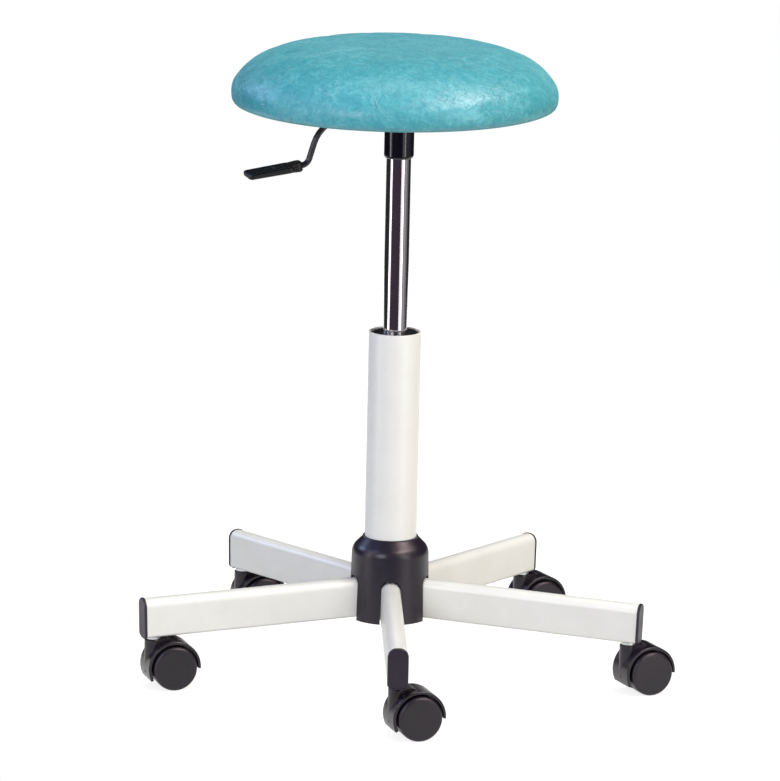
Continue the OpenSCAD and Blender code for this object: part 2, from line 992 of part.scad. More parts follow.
// Caster stems: pin below, bright flange, grooved stem above
module caster_stem() {
    shank = stem_d / 2;
    groove_z = stem_seat_z + ring_groove_rise;
    flange_z = stem_seat_z - stem_flange_t;
    turned([
        [0, neck_z - pin_h],
        [pin_d / 2, neck_z - pin_h],
        [pin_d / 2, flange_z],
        [stem_flange_d / 2, flange_z],
        [stem_flange_d / 2, stem_seat_z],
        [shank, stem_seat_z],
        [shank, groove_z],
        [shank - ring_groove_depth, groove_z],
        [shank - ring_groove_depth, groove_z + ring_groove_h],
        [shank, groove_z + ring_groove_h],
        [shank, stem_seat_z + stem_h - stem_tip_h],
        [shank - stem_tip_h, stem_seat_z + stem_h],
        [0, stem_seat_z + stem_h]
    ]);
}

module caster_stems() {
    color("#c8c9cc")
        for (i = [1 : 5])
            at_stem(i)
                caster_stem();
}

// Caster housing: hood over both wheels, neck and saddle, web and axle boss
module hood_profile() {
    inner_r = hood_r - hood_t - over;
    for (side = [-1, 1])
        translate([hood_r - hood_edge_r, side * (hood_w / 2 - hood_edge_r)])
            circle(r = hood_edge_r, $fn = 24);
    translate([inner_r, -hood_w / 2])
        square([hood_r - hood_edge_r - inner_r, hood_w]);
    translate([inner_r, hood_edge_r - hood_w / 2])
        square([hood_r - inner_r, hood_w - 2 * hood_edge_r]);
}

module side_slab(thick) {
    rotate([90, 0, 0])
        translate([0, 0, -thick / 2])
            linear_extrude(thick)
                children();
}

module saddle_outline() {
    out = hood_r - hood_t / 2;
    polygon([
        [0, 0],
        [0, neck_z - wheel_r],
        [saddle_len, neck_z - wheel_r],
        [trail + out * cos(saddle_angle), out * sin(saddle_angle)],
        [trail, 0]
    ]);
}

module web_outline() {
    translate([trail, 0])
        intersection() {
            circle(r = hood_r - hood_t / 2);
            translate([-hood_r, -axle_boss_r])
                square([2 * hood_r, hood_r + axle_boss_r]);
        }
}

// Neck, saddle and hood, hollowed on both sides for the wheels
module caster_shell() {
    difference() {
        union() {
            turned(concat(
                [[0, wheel_r - axle_boss_r], [neck_r, wheel_r - axle_boss_r]],
                arc([neck_r - neck_edge_r, neck_z - neck_edge_r], neck_edge_r, 0, 90, 4),
                [[0, neck_z]]
            ));
            translate([0, 0, wheel_r])
                side_slab(saddle_w)
                    saddle_outline();
            translate([trail, 0, wheel_r])
                rotate([90, 0, 0])
                    rotate([0, 0, hood_start])
                        rotate_extrude(angle = hood_sweep)
                            hood_profile();
        }
        for (side = [-1, 1])
            translate([trail, side * (body_w / 2 + hood_w / 2), wheel_r])
                side_slab(hood_w)
                    circle(r = hood_r - hood_t);
    }
}

module caster_housing(i) {
    color("#312e34")
        at_caster(i)
            difference() {
                union() {
                    caster_shell();
                    translate([0, 0, wheel_r])
                        side_slab(web_t)
                            web_outline();
                    translate([trail, 0, wheel_r])
                        side_slab(body_w)
                            circle(r = axle_boss_r);
                }
                translate([0, 0, neck_z - pin_h - pin_tail])
                    cylinder(r = pin_d / 2 + run_gap, h = pin_h + pin_tail + over);
                translate([trail, 0, wheel_r])
                    side_slab(body_w + 2 * over)
                        circle(d = axle_d + 2 * seat_gap);
            }
}

module caster_axle(i) {
    half = body_w / 2 + face_gap + wheel_w - wheel_face_t - 2 * axle_end_gap;
    color("#b4b5b9")
        at_axle(i)
            translate([0, 0, -half])
                cylinder(d = axle_d, h = 2 * half);
}

// Wheel, its outer face a closed disc, its inner side open with a ribbed web
module wheel_solid() {
    rim_in = wheel_r - wheel_rim_t;
    depth = wheel_w - wheel_face_t;
    difference() {
        union() {
            turned(concat(
                [[0, depth], [rim_in, depth], [rim_in, 0], [wheel_r - wheel_inner_edge, 0]],
                [[wheel_r, wheel_inner_edge]],
                arc([wheel_r - wheel_edge_r, wheel_w - wheel_edge_r], wheel_edge_r, 0, 90, 6),
                [[0, wheel_w]]
            ));
            cylinder(r = wheel_hub_r, h = wheel_w - wheel_face_t / 2);
            for (k = [0 : wheel_ribs - 1])
                rotate([0, 0, k * 360 / wheel_ribs])
                    translate([axle_d / 2 + run_gap + over, -wheel_rib_t / 2, wheel_rib_inset])
                        cube([
                            rim_in - axle_d / 2 - run_gap,
                            wheel_rib_t,
                            depth - wheel_rib_inset + wheel_face_t / 2
                        ]);
        }
        translate([0, 0, -over])
            cylinder(r = axle_d / 2 + run_gap, h = depth - axle_end_gap + over);
    }
}

module caster_wheel(i, side) {
    color("#3a363c")
        at_axle(i)
            mirror([0, 0, side < 0 ? 0 : 1])
                translate([0, 0, body_w / 2 + face_gap])
                    wheel_solid();
}

seat_cover();
seat_foam();
seat_board();
seat_plate();
seat_screws();
t_nuts();
cone_socket();
lever_bracket();
lever_pin();
lever_rod();
lever_grip();
release_pin();
lift_cylinder();
rod_guide();
piston_rod();
piston();
rod_bumper();
rod_clip();
upper_race();
ball_cage();
bearing_balls();
lower_race();
stand_tube();
guide_bush();
centring_ring();
column_tube();
hub_core();
hub_shroud();
caster_stems();
for (i = [1 : 5]) {
    leg(i);
    end_cap(i);
    caster_housing(i);
    caster_axle(i);
    caster_wheel(i, 1);
    caster_wheel(i, -1);
}
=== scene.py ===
import math
import random

import bmesh
import bpy
from mathutils import Matrix, Vector


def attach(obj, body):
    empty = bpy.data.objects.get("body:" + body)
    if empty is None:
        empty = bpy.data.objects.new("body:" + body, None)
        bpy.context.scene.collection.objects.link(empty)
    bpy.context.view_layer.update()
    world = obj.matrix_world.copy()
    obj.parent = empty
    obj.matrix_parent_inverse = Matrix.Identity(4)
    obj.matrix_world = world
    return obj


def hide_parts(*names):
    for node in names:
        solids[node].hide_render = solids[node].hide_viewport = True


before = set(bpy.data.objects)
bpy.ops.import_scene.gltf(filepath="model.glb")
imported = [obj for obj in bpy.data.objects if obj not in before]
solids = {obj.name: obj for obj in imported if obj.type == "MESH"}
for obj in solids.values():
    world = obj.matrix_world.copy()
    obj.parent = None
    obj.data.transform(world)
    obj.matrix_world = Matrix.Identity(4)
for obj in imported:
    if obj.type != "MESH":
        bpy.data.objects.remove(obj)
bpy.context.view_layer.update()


# Caster wheels
# Ten small wheels, two to a caster, moulded in black nylon and left as they come from the tool.
# Each turns by itself on a zinc-plated steel axle pressed through the housing.
CASTERS = range(1, 6)
SIDES = ("left", "right")


def linear(colour):
    """The linear colour, with alpha, of an sRGB hex value."""
    parts = [int(colour[i:i + 2], 16) / 255 for i in (1, 3, 5)]
    return (*[p / 12.92 if p <= 0.04045 else ((p + 0.055) / 1.055) ** 2.4 for p in parts], 1.0)


def blank(name):
    """A new material with an empty tree, and the socket that gives the place on the object in metres."""
    made = bpy.data.materials.new(name)
    made.use_nodes = True
    made.node_tree.nodes.clear()
    place = add(made.node_tree, "TexCoord").outputs["Object"]
    return made, made.node_tree, place


def add(tree, kind, inputs=None, **settings):
    """Adds a node with its settings. An input is a value, or the socket that feeds it."""
    made = tree.nodes.new("ShaderNode" + kind)
    for key, value in settings.items():
        setattr(made, key, value)
    for key, value in (inputs or {}).items():
        if isinstance(value, bpy.types.NodeSocket):
            tree.links.new(value, made.inputs[key])
        else:
            made.inputs[key].default_value = value
    return made


def per(millimetres):
    """Texture scale at which one cell of a pattern is that many millimetres."""
    return 1000.0 / millimetres


def paint(names, made):
    """Gives solids their material."""
    for name in names:
        node = solids[name]
        node.data.materials.clear()
        node.data.materials.append(made)


def moulded(name, colour, pale, roughness, grain_mm, relief_mm, scuff):
    """A moulded plastic: slow tone drift, the tool's fine spark texture, and faint pale rubs."""
    drift_mm, drift_share = 28, 0.22
    rub_mm, rub_from, rub_full = 9, 0.58, 0.74
    made, tree, place = blank(name)
    drift = add(tree, "TexNoise", {"Vector": place, "Scale": per(drift_mm), "Detail": 3.0, "Roughness": 0.6})
    grain = add(tree, "TexNoise", {"Vector": place, "Scale": per(grain_mm), "Detail": 2.0, "Roughness": 0.7})
    rub = add(tree, "TexNoise", {"Vector": place, "Scale": per(rub_mm), "Detail": 6.0, "Roughness": 0.75,
                                 "Distortion": 1.4})
    rubbed = add(tree, "MapRange", {"Value": rub.outputs["Fac"], "From Min": rub_from, "From Max": rub_full,
                                    "To Max": scuff})
    toned = add(tree, "MapRange", {"Value": drift.outputs["Fac"], "From Min": 0.3, "From Max": 0.7,
                                   "To Min": 0.0, "To Max": drift_share})
    mixed = add(tree, "Math", {0: rubbed.outputs["Result"], 1: toned.outputs["Result"]}, operation="ADD",
                use_clamp=True)
    hue = add(tree, "Mix", {0: mixed.outputs["Value"], 6: linear(colour), 7: linear(pale)},
              data_type="RGBA")
    rough = add(tree, "MapRange", {"Value": drift.outputs["Fac"], "From Min": 0.3, "From Max": 0.7,
                                   "To Min": roughness - 0.05, "To Max": roughness + 0.06})
    bump = add(tree, "Bump", {"Height": grain.outputs["Fac"], "Strength": 0.5, "Distance": relief_mm / 1000})
    surface = add(tree, "BsdfPrincipled", {
        "Base Color": hue.outputs[2], "Roughness": rough.outputs["Result"], "IOR": 1.46,
        "Normal": bump.outputs["Normal"]})
    add(tree, "OutputMaterial", {"Surface": surface.outputs["BSDF"]})
    return made


# Nylon 6 wheels: satin, a little rubbed by the floor. The spark texture is 0.3 mm on the real
# wheel and is drawn at 1.4 mm so that it shows.
wheel_nylon = moulded("moulded_nylon_wheel", "#0e0612", "#2e2232", roughness=0.4, grain_mm=1.4,
                      relief_mm=0.12, scuff=0.14)
paint([f"caster_{i}_wheel_{side}" for i in CASTERS for side in SIDES], wheel_nylon)


# Caster housings and axles
# The hood, neck and saddle are one moulding in black nylon. The axle is drawn steel rod under
# bright zinc, pressed through the saddle.
# The housing's nylon is glossier than the wheels'; its texture of 0.4 mm is drawn at 1.6 mm.
housing_nylon = moulded("moulded_nylon_housing", "#100814", "#2c2232", roughness=0.3, grain_mm=1.6,
                        relief_mm=0.12, scuff=0.08)
paint([f"caster_{i}_housing" for i in CASTERS], housing_nylon)


def plated(name, colour, roughness, line_mm):
    """Bright plating over machined steel: fine turning lines and slow cloudy bands in the gloss."""
    cloud_mm, line_depth = 14, 0.00005
    made, tree, place = blank(name)
    lines = add(tree, "TexWave", {"Vector": place, "Scale": per(line_mm) / 6.283, "Distortion": 0.6,
                                  "Detail": 1.0}, wave_type="BANDS", bands_direction="Z")
    cloud = add(tree, "TexNoise", {"Vector": place, "Scale": per(cloud_mm), "Detail": 4.0})
    rough = add(tree, "MapRange", {"Value": cloud.outputs["Fac"], "From Min": 0.3, "From Max": 0.7,
                                   "To Min": roughness - 0.06, "To Max": roughness + 0.1})
    hue = add(tree, "Mix", {0: cloud.outputs["Fac"], 6: linear(colour), 7: linear("#b9bdbf")},
              data_type="RGBA")
    bump = add(tree, "Bump", {"Height": lines.outputs["Fac"], "Strength": 0.25, "Distance": line_depth})
    surface = add(tree, "BsdfPrincipled", {
        "Base Color": hue.outputs[2], "Metallic": 1.0, "Roughness": rough.outputs["Result"],
        "Normal": bump.outputs["Normal"]})
    add(tree, "OutputMaterial", {"Surface": surface.outputs["BSDF"]})
    return made


# Zinc plating is bluish white and half bright; its turning lines are 0.2 mm, drawn at 0.8 mm.
zinc = plated("bright_zinc_plated_steel", "#d2d4d8", roughness=0.3, line_mm=0.8)
paint([f"caster_{i}_axle" for i in CASTERS], zinc)


# Caster stems and end caps
# Turned steel stems, zinc-plated, push up into the caps until their flange meets the cap.
# The caps are moulded in black polypropylene and close the legs' open ends.
paint(["caster_stems"], zinc)

# The caps are duller and a little paler than the nylon; their texture of 0.4 mm is drawn at 1.5 mm.
cap_plastic = moulded("moulded_polypropylene_cap", "#1f1626", "#362b3a", roughness=0.48, grain_mm=1.5,
                      relief_mm=0.12, scuff=0.07)
paint([f"end_cap_{i}" for i in CASTERS], cap_plastic)


# Legs and column
# Welded steel tube, sprayed with white powder and baked. The coat flows into a soft satin skin
# with the faint dimples that powder leaves, 2 mm apart.
def powder_coat():
    dimple_mm, wave_mm, dust_mm = 2.2, 16, 60
    made, tree, place = blank("white_powder_coated_steel")
    dimple = add(tree, "TexNoise", {"Vector": place, "Scale": per(dimple_mm), "Detail": 1.0,
                                    "Roughness": 0.4})
    wave = add(tree, "TexNoise", {"Vector": place, "Scale": per(wave_mm), "Detail": 2.0})
    dust = add(tree, "TexNoise", {"Vector": place, "Scale": per(dust_mm), "Detail": 5.0, "Roughness": 0.65})
    height = add(tree, "Math", {0: wave.outputs["Fac"], 1: 0.6, 2: dimple.outputs["Fac"]},
                 operation="MULTIPLY_ADD")
    bump = add(tree, "Bump", {"Height": height.outputs["Value"], "Strength": 0.35, "Distance": 0.00012})
    tone = add(tree, "MapRange", {"Value": dust.outputs["Fac"], "From Min": 0.35, "From Max": 0.75})
    hue = add(tree, "Mix", {0: tone.outputs["Result"], 6: linear("#f0efe8"), 7: linear("#e9e8e0")},
              data_type="RGBA")
    rough = add(tree, "MapRange", {"Value": wave.outputs["Fac"], "To Min": 0.3, "To Max": 0.42})
    surface = add(tree, "BsdfPrincipled", {
        "Base Color": hue.outputs[2], "Roughness": rough.outputs["Result"], "IOR": 1.5,
        "Normal": bump.outputs["Normal"]})
    add(tree, "OutputMaterial", {"Surface": surface.outputs["BSDF"]})
    return made


white_coat = powder_coat()
paint(["column_tube"] + [f"leg_{i}" for i in CASTERS], white_coat)


# Hub shroud and core
# The shroud is one moulding in black polypropylene, pushed down the column over the weld. The
# steel core inside the column's foot is plated.
# The shroud's leathery texture is 0.5 mm and is drawn at 1.8 mm; it gives a soft, slow highlight.
shroud_plastic = moulded("moulded_polypropylene_shroud", "#150c1b", "#2e2538", roughness=0.34,
                         grain_mm=1.8, relief_mm=0.08, scuff=0.06)
paint(["hub_shroud"], shroud_plastic)
paint(["hub_core"], zinc)


# Gas lift
# The lift cylinder is drawn steel tube, ground, hard-chromed and polished. It slides in a nylon
# bush at the top of the stand tube, which is enamelled black and held by its taper in the hub core.
def hard_chrome():
    """Polished chrome mirrors the room, with only a faint haze and long ripples from the grinding."""
    ripple_mm, haze_mm = 7, 22
    made, tree, place = blank("polished_hard_chrome")
    stretch = add(tree, "Mapping", {"Vector": place, "Scale": (1.0, 1.0, 0.06)})
    ripple = add(tree, "TexNoise", {"Vector": stretch.outputs["Vector"], "Scale": per(ripple_mm),
                                    "Detail": 2.0})
    haze = add(tree, "TexNoise", {"Vector": place, "Scale": per(haze_mm), "Detail": 5.0})
    rough = add(tree, "MapRange", {"Value": haze.outputs["Fac"], "From Min": 0.35, "From Max": 0.7,
                                   "To Min": 0.05, "To Max": 0.12})
    bump = add(tree, "Bump", {"Height": ripple.outputs["Fac"], "Strength": 0.12, "Distance": 0.0001})
    hue = add(tree, "Mix", {0: haze.outputs["Fac"], 6: linear("#dcdadd"), 7: linear("#cfccd0")},
              data_type="RGBA")
    surface = add(tree, "BsdfPrincipled", {
        "Base Color": hue.outputs[2], "Metallic": 1.0, "Roughness": rough.outputs["Result"],
        "Normal": bump.outputs["Normal"]})
    add(tree, "OutputMaterial", {"Surface": surface.outputs["BSDF"]})
    return made


def enamelled(name, colour, roughness):
    """Stoved enamel on steel: hard and glossy, with a slow orange peel and a few dust specks."""
    peel_mm, speck_mm = 3, 4
    made, tree, place = blank(name)
    peel = add(tree, "TexNoise", {"Vector": place, "Scale": per(peel_mm), "Detail": 1.5})
    fleck = add(tree, "TexVoronoi", {"Vector": place, "Scale": per(speck_mm)})
    speck = add(tree, "MapRange", {"Value": fleck.outputs["Distance"], "From Min": 0.04, "From Max": 0.1,
                                   "To Min": 0.25, "To Max": 0.0})
    hue = add(tree, "Mix", {0: speck.outputs["Result"], 6: linear(colour), 7: linear("#4a4b50")},
              data_type="RGBA")
    bump = add(tree, "Bump", {"Height": peel.outputs["Fac"], "Strength": 0.2, "Distance": 0.00008})
    rough = add(tree, "MapRange", {"Value": peel.outputs["Fac"], "To Min": roughness - 0.03,
                                   "To Max": roughness + 0.05})
    surface = add(tree, "BsdfPrincipled", {
        "Base Color": hue.outputs[2], "Roughness": rough.outputs["Result"], "IOR": 1.5,
        "Normal": bump.outputs["Normal"]})
    add(tree, "OutputMaterial", {"Surface": surface.outputs["BSDF"]})
    return made


chrome = hard_chrome()
black_enamel = enamelled("stoved_black_enamel", "#0d0e18", roughness=0.12)
paint(["lift_cylinder"], chrome)
paint(["stand_tube"], black_enamel)

# Machined nylon is dull and even. Its tool marks of 0.2 mm are drawn at 1.2 mm.
bush_nylon = moulded("machined_nylon_bush", "#121114", "#26252a", roughness=0.42, grain_mm=1.2,
                     relief_mm=0.06, scuff=0.05)
paint(["guide_bush", "centring_ring", "rod_guide"], bush_nylon)

# Ground steel is bright and slightly brushed; its grinding lines of 0.1 mm are drawn at 0.6 mm.
bearing_steel = plated("ground_bearing_steel", "#c3c4c6", roughness=0.2, line_mm=0.6)
paint(["piston_rod", "piston", "upper_race", "lower_race", "bearing_balls", "rod_clip"], bearing_steel)

# The rubber bumper and the brass ball cage sit inside, at the rod's foot: moulded nitrile rubber,
# dull and slightly dusty, and stamped brass that has kept its cutting sheen. The rubber's texture
# of 0.3 mm is drawn at 1 mm, and the brass's lines of 0.1 mm at 0.7 mm.
rubber = moulded("moulded_nitrile_rubber", "#1d1c1e", "#4b4a4c", roughness=0.62, grain_mm=1.0,
                 relief_mm=0.08, scuff=0.12)
brass = plated("stamped_brass", "#c9a869", roughness=0.28, line_mm=0.7)
paint(["rod_bumper"], rubber)
paint(["ball_cage"], brass)


# Socket and seat plate
# A pressed steel plate with the cylinder's socket welded under it, both stoved in gloss black.
# Zinc-plated screws hold the plate to the board; the bracket and pins inside are plated too.
paint(["cone_socket", "seat_plate"], black_enamel)
paint(["seat_screws", "t_nuts", "lever_bracket", "lever_pin", "release_pin"], zinc)


# Lift lever
# A 7 mm steel rod, bent cold and enamelled, with a flat grip of black soft PVC moulded over it.
# Soft PVC is the blackest plastic here, and dull; its texture of 0.3 mm is drawn at 1.2 mm.
grip_pvc = moulded("moulded_soft_pvc_grip", "#060407", "#161219", roughness=0.46, grain_mm=1.2,
                   relief_mm=0.1, scuff=0.06)
rod_enamel = enamelled("stoved_black_enamel_on_rod", "#131317", roughness=0.24)
paint(["lever_rod"], rod_enamel)
paint(["lever_grip"], grip_pvc)


# Seat board
# Birch plywood, rotary cut and left raw. Seen from below it shows pale cathedral grain, and the
# layers show as lines round its edge. Its pores of 0.3 mm are drawn at 1.2 mm.
def birch_plywood():
    figure_mm, fibre_mm, ply_mm = 9, 1.2, 3.0
    made, tree, place = blank("raw_birch_plywood")
    along = add(tree, "Mapping", {"Vector": place, "Scale": (1.0, 0.07, 1.0)})
    figure = add(tree, "TexNoise", {"Vector": along.outputs["Vector"], "Scale": per(figure_mm),
                                    "Detail": 4.0, "Distortion": 0.9})
    fibre = add(tree, "TexNoise", {"Vector": along.outputs["Vector"], "Scale": per(fibre_mm), "Detail": 3.0})
    plies = add(tree, "TexWave", {"Vector": place, "Scale": per(ply_mm) / 6.283, "Distortion": 0.3},
                wave_type="BANDS", bands_direction="Z")
    grain = add(tree, "Mix", {0: figure.outputs["Fac"], 6: linear("#d9bd8d"), 7: linear("#c39a62")},
                data_type="RGBA")
    fibred = add(tree, "MapRange", {"Value": fibre.outputs["Fac"], "From Min": 0.45, "From Max": 0.8,
                                    "To Max": 0.35})
    dark = add(tree, "Mix", {0: fibred.outputs["Result"], 6: grain.outputs[2], 7: linear("#a37c4b")},
               data_type="RGBA")
    layer = add(tree, "MapRange", {"Value": plies.outputs["Fac"], "From Min": 0.7, "To Max": 0.3})
    hue = add(tree, "Mix", {0: layer.outputs["Result"], 6: dark.outputs[2], 7: linear("#8d6a40")},
              data_type="RGBA")
    bump = add(tree, "Bump", {"Height": fibre.outputs["Fac"], "Strength": 0.4, "Distance": 0.0002})
    surface = add(tree, "BsdfPrincipled", {
        "Base Color": hue.outputs[2], "Roughness": 0.62, "IOR": 1.5, "Normal": bump.outputs["Normal"]})
    add(tree, "OutputMaterial", {"Surface": surface.outputs["BSDF"]})
    return made


paint(["seat_board"], birch_plywood())


# Cushion
# Moulded polyurethane foam on the board, under one piece of teal expanded vinyl that is pulled
# over the edge and stapled below. It has no seam or piping; the vinyl is softly mottled.
SEAT_R, SEAT_LOW, GIRTH_H, SEAT_H = 0.1875, 0.6573, 0.024, 0.076
SEAT_OFF = Vector((-0.006, 0.0, 0.0))
HEM_R, HEM_W = 0.1345, 0.016
SKIN_T = 0.0012

# FLAT is the share of the radius over which the underside is flat. UNDER is the power of the curve
# from there to the girth, and CROWN and SHOULDER are the powers, in radius and in height, of the
# curve from the girth to the crown.
FLAT, UNDER, CROWN, SHOULDER = 0.48, 4.2, 5.4, 1.15


def cushion_profile(inset, steps):
    """Half outline of the cushion, from its underside to its crown, drawn in by an inset."""
    out = SEAT_R - inset
    flat = FLAT * out
    turns = [math.radians(90 * i / steps) for i in range(steps + 1)]
    under = [(flat + (out - flat) * max(math.cos(t), 0.0) ** (2 / UNDER),
              GIRTH_H - GIRTH_H * math.sin(t) ** (2 / UNDER)) for t in reversed(turns)]
    over = [(out * max(math.cos(t), 0.0) ** (2 / CROWN),
             GIRTH_H + (SEAT_H - GIRTH_H - inset) * math.sin(t) ** (2 / SHOULDER)) for t in turns[1:-1]]
    return under + over


def turned_shell(name, rows, low, top, rounds):
    """A closed turned mesh from rows of radius and height, with a point at each end of its axis."""
    points = [(0.0, 0.0, low)]
    for r, z in rows:
        points += [(r * math.cos(2 * math.pi * k / rounds), r * math.sin(2 * math.pi * k / rounds), z)
                   for k in range(rounds)]
    points.append((0.0, 0.0, top))
    faces = [(0, 1 + (k + 1) % rounds, 1 + k) for k in range(rounds)]
    for j in range(len(rows) - 1):
        a, b = 1 + j * rounds, 1 + (j + 1) * rounds
        faces += [(a + k, a + (k + 1) % rounds, b + (k + 1) % rounds, b + k) for k in range(rounds)]
    last = 1 + (len(rows) - 1) * rounds
    faces += [(last + k, last + (k + 1) % rounds, len(points) - 1) for k in range(rounds)]
    return placed(name, points, faces)


def placed(name, points, faces):
    """A new object in the scene from a mesh's points and faces."""
    mesh = bpy.data.meshes.new(name)
    mesh.from_pydata(points, [], faces)
    mesh.update()
    made = bpy.data.objects.new(name, mesh)
    bpy.context.scene.collection.objects.link(made)
    return made


def settled(piece):
    """Takes what the piece's modifiers give now as its own mesh."""
    view = bpy.context.evaluated_depsgraph_get()
    mesh = bpy.data.meshes.new_from_object(piece.evaluated_get(view))
    piece.modifiers.clear()
    piece.data = mesh
    return piece


def make_cushion():
    """The foam's swell under stretched vinyl, simulated from a slightly smaller form."""
    steps, rounds, voxel, frames = 18, 144, 0.005, 20
    inset = 0.001
    rows = [(r, SEAT_LOW + z) for r, z in cushion_profile(inset, steps)]
    made = turned_shell("seat_cushion", rows, SEAT_LOW, SEAT_LOW + SEAT_H - inset, rounds)
    remesh = made.modifiers.new("remesh", "REMESH")
    remesh.mode = "VOXEL"
    remesh.voxel_size = voxel
    settled(made)
    start = [v.co.copy() for v in made.data.vertices]
    stapled_h = 0.010
    stapled = made.vertex_groups.new(name="stapled")
    held = [v.index for v in made.data.vertices if v.co.z < SEAT_LOW + stapled_h]
    stapled.add(held, 1.0, "REPLACE")
    cloth = made.modifiers.new("cloth", "CLOTH")
    cloth.settings.quality = 6
    cloth.settings.mass = 0.35
    cloth.settings.tension_stiffness = 18
    cloth.settings.compression_stiffness = 18
    cloth.settings.bending_stiffness = 0.6
    cloth.settings.use_pressure = True
    cloth.settings.uniform_pressure_force = 2.0
    cloth.settings.vertex_group_mass = "stapled"
    cloth.settings.effector_weights.gravity = 0.0
    cloth.collision_settings.use_collision = False
    cloth.point_cache.frame_start = 1
    cloth.point_cache.frame_end = frames
    for step in range(1, frames + 1):
        bpy.context.scene.frame_set(step)
    settled(made)
    bpy.context.scene.frame_set(1)
    cap, girth_room = 0.0014, 0.0008
    for v, old in zip(made.data.vertices, start):
        moved = v.co - old
        if moved.length > cap:
            moved *= cap / moved.length
        v.co = old + moved
    # The swell is brought back to the real girth and height, a little inside the solid's girth.
    out = (SEAT_R - girth_room) / max(math.hypot(v.co.x, v.co.y) for v in made.data.vertices)
    tall = SEAT_H / (max(v.co.z for v in made.data.vertices) - SEAT_LOW)
    for v in made.data.vertices:
        v.co = (v.co.x * out, v.co.y * out, SEAT_LOW + (v.co.z - SEAT_LOW) * tall)
    return made


def opened_below(piece, radius, height):
    """Cuts away the underside inside a radius, so that the board and the plate show there."""
    shape = bmesh.new()
    shape.from_mesh(piece.data)
    inner = [f for f in shape.faces
             if f.calc_center_median().z < height and math.hypot(*f.calc_center_median()[:2]) < radius]
    bmesh.ops.delete(shape, geom=inner, context="FACES")
    shape.to_mesh(piece.data)
    shape.free()


def smoothed(piece):
    """Shades the faces smoothly."""
    for face in piece.data.polygons:
        face.use_smooth = True


cushion = make_cushion()
opened_below(cushion, HEM_R + HEM_W / 2, SEAT_LOW + 0.01)
cushion.data.transform(Matrix.Translation(SEAT_OFF))
skin = cushion.modifiers.new("skin", "SOLIDIFY")
skin.thickness = SKIN_T
skin.offset = -1.0
smooth = cushion.modifiers.new("smooth", "SUBSURF")
smooth.levels = smooth.render_levels = 1


# Expanded vinyl: 1.2 mm thick, calendered with a fine grain of 0.8 mm, drawn at 1.6 mm. The print
# under its clear skin is marbled: slow clouds, pale and dark veins, and short creases from pulling.
def veins(tree, place, cell_mm, width, patch_mm):
    """Thin wandering lines, 1 on the line and 0 off it, that come and go in patches."""
    wander = add(tree, "TexNoise", {"Vector": place, "Scale": per(cell_mm), "Detail": 4.0,
                                    "Roughness": 0.6, "Distortion": 1.8})
    off = add(tree, "Math", {0: wander.outputs["Fac"], 1: 0.5}, operation="SUBTRACT")
    far = add(tree, "Math", {0: off.outputs["Value"]}, operation="ABSOLUTE")
    line = add(tree, "MapRange", {"Value": far.outputs["Value"], "From Max": width, "To Min": 1.0,
                                  "To Max": 0.0}, interpolation_type="SMOOTHSTEP")
    spots = add(tree, "TexNoise", {"Vector": place, "Scale": per(patch_mm), "Detail": 3.0})
    where = add(tree, "MapRange", {"Value": spots.outputs["Fac"], "From Min": 0.44, "From Max": 0.6})
    return add(tree, "Math", {0: line.outputs["Result"], 1: where.outputs["Result"]},
               operation="MULTIPLY").outputs["Value"]


